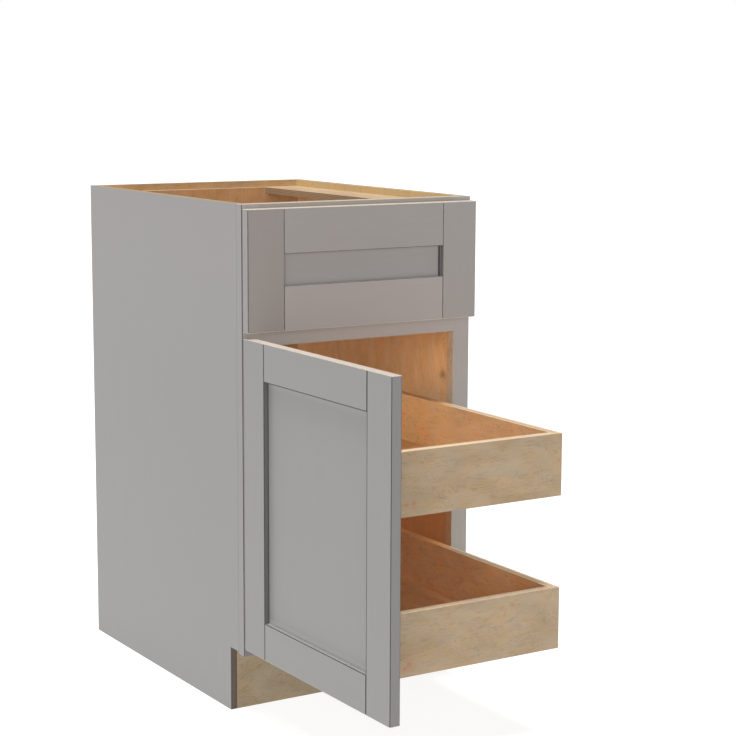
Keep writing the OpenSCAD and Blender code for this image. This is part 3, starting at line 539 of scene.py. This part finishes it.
# Cut edges
TOP_SHADE = 0.75
TRAY_BAND = (tray_side - 9.5 * MM, 3 * MM)
edge = by_axis(ply_edge, "ply_edge", (X, Y, Z))
top_edge = by_axis(
    ply_edge, "ply_edge_top", (X, Y), shade(EDGE_LIGHT, TOP_SHADE), shade(EDGE_DARK, TOP_SHADE))
tray_edge = ply_edge("ply_edge_tray", X, TRAY_LIGHT, TRAY_DARK, TRAY_BAND, TRAY_BACK)
tray_low_edge = ply_edge(
    "ply_edge_tray_low", X, TRAY_LOW_LIGHT, TRAY_LOW_DARK, TRAY_BAND, TRAY_LOW_BACK)
brace_edge = ply_edge("ply_edge_brace", Z, BRACE_EDGE_LIGHT, BRACE_EDGE_DARK)
foot_edge = ply_edge("ply_edge_foot", X, FOOT_LIGHT, FOOT_DARK)

# Metal, plastic and rubber
steel = plain_steel("zinc_steel", (0.56, 0.57, 0.59), (0.68, 0.69, 0.71))
nickel = plain_steel("nickel_steel", (0.62, 0.60, 0.56), (0.72, 0.70, 0.66))
clip = moulded("clip_plastic", (0.72, 0.17, 0.03), 0.4)
bumper = moulded("bumper_rubber", (0.66, 0.66, 0.62), 0.3)

# Faces are named by where they look
FACES = {
    "left": (X, -1), "right": (X, 1), "front": (Y, -1), "back": (Y, 1), "down": (Z, -1), "up": (Z, 1),
}
FLAT = 0.9


def dress(name, rest, inside=None, **faces):
    """Gives a CAD node one material, and another to each flat side that is named.

    The inside faces are those that look across towards the cabinet's middle. A side counts as
    flat where its normal leans less than about 26 degrees from the axis.
    """
    mesh = nodes[name].data
    mesh.materials.clear()
    mesh.materials.append(rest)
    wanted = []
    for side, material in faces.items():
        mesh.materials.append(material)
        wanted.append((*FACES[side], len(mesh.materials) - 1))
    if inside:
        mesh.materials.append(inside)
    for polygon in mesh.polygons:
        polygon.material_index = 0
        for axis, sign, slot in wanted:
            if polygon.normal[axis] * sign > FLAT:
                polygon.material_index = slot
        across = polygon.normal.x * polygon.center.x
        if inside and abs(polygon.normal.x) > FLAT and across < 0:
            polygon.material_index = len(mesh.materials) - 1


# Corners nearer than JOINED become one, faces that turn less than LEVEL become one, and edges that
# turn more than SHARP are rounded
JOINED = 0.005 * MM
LEVEL = math.radians(0.5)
SHARP = math.radians(50)


def ease(name, width, material=None):
    """Rounds a board's edges a little, on top of the unchanged CAD mesh."""
    piece = nodes[name]
    mesh = piece.data
    if "custom_normal" in mesh.attributes:
        mesh.attributes.remove(mesh.attributes["custom_normal"])
    mesh.shade_smooth()
    weld = piece.modifiers.new("weld", "WELD")
    weld.merge_threshold = JOINED
    flat = piece.modifiers.new("flat", "DECIMATE")
    flat.decimate_type = "DISSOLVE"
    flat.angle_limit = LEVEL
    flat.delimit = {"MATERIAL"}
    rounding = piece.modifiers.new("rounding", "BEVEL")
    rounding.width = width
    rounding.segments = 2
    rounding.use_clamp_overlap = False
    rounding.limit_method = "ANGLE"
    rounding.angle_limit = SHARP
    if material:
        mesh.materials.append(material)
        rounding.material = len(mesh.materials) - 1
    normals = piece.modifiers.new("normals", "WEIGHTED_NORMAL")
    normals.weight = 100
    normals.keep_sharp = True


# Cabinet box
dress("side_panel_left", edge[X], left=side_paint, right=wall[Z], front=foot_edge, up=top_edge[X])
dress("side_panel_right", edge[X], right=side_paint, left=wall[Z], front=foot_edge, up=top_edge[X])
dress("back_panel", edge[Y], front=back_wood, back=pale[Z])
dress("bottom_panel", edge[Z], up=wall[Y], down=pale[Y])
dress("toe_board", edge[Y], front=toe_wood, back=toe_wood)
dress("hanging_rails", top_edge[Y], front=rail_wood, back=pale[X])
dress("top_braces", brace_edge, up=brace_wood, down=pale[Y])
for name in ("drawer_runner_blocks", "tray_runner_blocks"):
    dress(name, edge[X], left=pale[Y], right=pale[Y])

# Face frame: painted, apart from the edges that look into the openings
dress("stile_left", frame_gap_paint, left=frame_side_paint, right=stile_wood, up=top_paint)
dress("stile_right", right_stile_paint, left=stile_wood, up=top_paint)
dress("top_rail", top_rail_paint, up=top_paint)
for name in ("middle_rail", "bottom_rail"):
    dress(name, frame_paint, up=top_paint)

# Door
dress("door_hinge_stile", door_stile_paint, front=door_recess_paint, up=top_paint)
dress("door_free_stile", door_stile_paint, front=end_paint, up=top_paint)
dress("door_top_rail", door_rail_paint, up=top_paint)
dress("door_bottom_rail", door_rail_paint, up=door_ledge_paint)
dress("door_panel", door_panel_paint)

# Drawer front
dress("drawer_front_stile_left", drawer_left_paint, left=side_paint, up=top_paint)
dress("drawer_front_stile_right", drawer_paint[Z], left=drawer_recess_paint, up=top_paint)
dress("drawer_front_top_rail", drawer_paint[X], up=top_paint)
dress("drawer_front_bottom_rail", drawer_low_paint, up=drawer_ledge_paint)
dress("drawer_front_panel", drawer_panel_paint)

# Drawer box and trays
for box, inner, floor_wood, side_edge in (
    ("drawer_box", amber, amber[Y], edge[X]),
    ("upper_tray", amber_upper, amber[Y], tray_edge),
    ("lower_tray", amber_lower, amber_lower[Y], tray_low_edge),
):
    dress(box + "_sides", side_edge, inside=inner[Y], left=pale[Y], right=pale[Y])
    dress(box + "_front", edge[Y], front=tray_wood, back=inner[X], up=rim_wood)
    dress(box + "_back", edge[Y], front=inner[X], back=pale[X])
    dress(box + "_bottom", edge[Z], up=floor_wood, down=pale[Y])

# Cutlery insert
dress("insert_base", edge[Z], up=insert_wood[X], down=insert_wood[X])
dress("insert_rails", edge[Y], front=insert_wood[X], back=insert_wood[X])
dress("insert_dividers", edge[X], left=insert_wood[Y], right=insert_wood[Y])

# Metal, plastic and rubber pieces have one finish each, by how their names end
PLAIN_FINISHES = {
    "runner_fixed": steel, "runner_middle": steel, "runner_moving": steel, "screws": nickel,
    "hinge_arms": nickel, "hinge_cups": nickel, "clips": clip, "bumpers": bumper,
}


def plain_finish(name):
    """The finish of a metal, plastic or rubber piece, or None for a board."""
    return next((finish for ending, finish in PLAIN_FINISHES.items() if name.endswith(ending)), None)


for name in nodes:
    if plain_finish(name):
        dress(name, plain_finish(name))
    elif name == "door_bottom_rail":
        ease(name, FRONT_EASED, door_ledge_eased)
    elif name.startswith("door_"):
        ease(name, FRONT_EASED, door_eased)
    elif name.startswith("drawer_front_"):
        ease(name, FRONT_EASED, drawer_eased)
    else:
        ease(name, EASED)

# Floor: its glow makes it white where light falls, and leaves a faint shadow
FLOOR_SIZE = 60
FLOOR_DROP = 0.2 * MM
FLOOR_GRAY = (0.25, 0.25, 0.25)
FLOOR_GLOW = 0.84
bpy.ops.mesh.primitive_plane_add(size=FLOOR_SIZE, location=(0, 0, -FLOOR_DROP))
floor = bpy.context.object
floor.name = "floor"
pale_floor = Material("floor", 0.9, 0.0)
pale_floor.shader.inputs["Emission Color"].default_value = WHITE
pale_floor.shader.inputs["Emission Strength"].default_value = FLOOR_GLOW
floor.data.materials.append(pale_floor.finish(FLOOR_GRAY))

# Surroundings: white to the camera, and dim as a light
SKY_LIGHT = 0.12
world = bpy.data.worlds.new("studio")
bpy.context.scene.world = world
world.use_nodes = True
tree = world.node_tree
soft = tree.nodes["Background"]
soft.inputs["Color"].default_value = WHITE
soft.inputs["Strength"].default_value = SKY_LIGHT
backdrop = tree.nodes.new("ShaderNodeBackground")
backdrop.inputs["Strength"].default_value = 1.0
backdrop.inputs["Color"].default_value = WHITE
ray = tree.nodes.new("ShaderNodeLightPath")
choice = tree.nodes.new("ShaderNodeMixShader")
tree.links.new(ray.outputs["Is Camera Ray"], choice.inputs[0])
tree.links.new(soft.outputs[0], choice.inputs[1])
tree.links.new(backdrop.outputs[0], choice.inputs[2])
tree.links.new(choice.outputs[0], tree.nodes["World Output"].inputs[0])


def sun(name, direction, strength, spread, shadow=True):
    """A large soft light that shines along a direction. Strength 1 lights a white face to white.

    A light without shadow only fills, so it isn't mirrored in the finishes either.
    """
    light = bpy.data.lights.new(name, "SUN")
    light.energy = strength * math.pi
    light.angle = math.radians(spread)
    light.use_shadow = shadow
    lamp = bpy.data.objects.new(name, light)
    lamp.rotation_mode = "QUATERNION"
    lamp.rotation_quaternion = Vector(direction).to_track_quat("-Z", "Y")
    lamp.visible_glossy = shadow
    bpy.context.scene.collection.objects.link(lamp)


sun("overhead", (0.05, 0.05, -1), 1.5, 30)
sun("fill_above", (0.05, 0.05, -1), 0.12, 5, shadow=False)
sun("front", (0.62, 0.74, -0.26), 0.36, 30)
sun("fill_left", (1, 0.1, -0.1), 0.14, 5, shadow=False)
sun("fill_front", (0.1, 1, -0.1), 0.30, 5, shadow=False)

# Camera, turned by its yaw from straight ahead to the right, then down by its pitch
forward = Vector((
    math.sin(CAMERA_YAW) * math.cos(CAMERA_PITCH),
    math.cos(CAMERA_YAW) * math.cos(CAMERA_PITCH),
    -math.sin(CAMERA_PITCH),
))
level = Vector((math.cos(CAMERA_YAW), -math.sin(CAMERA_YAW), 0))
upright = level.cross(forward)
right = level * math.cos(CAMERA_ROLL) + upright * math.sin(CAMERA_ROLL)
up = upright * math.cos(CAMERA_ROLL) - level * math.sin(CAMERA_ROLL)
lens = bpy.data.cameras.new("camera")
lens.sensor_width = SENSOR_WIDTH
lens.lens = FOCAL_PIXELS / PHOTO_WIDTH * SENSOR_WIDTH
camera = bpy.data.objects.new("camera", lens)
camera.matrix_world = Matrix((
    (right.x, up.x, -forward.x, CAMERA_PLACE.x),
    (right.y, up.y, -forward.y, CAMERA_PLACE.y),
    (right.z, up.z, -forward.z, CAMERA_PLACE.z),
    (0, 0, 0, 1),
))
bpy.context.scene.collection.objects.link(camera)
bpy.context.scene.camera = camera
bpy.context.scene.view_settings.view_transform = "Standard"
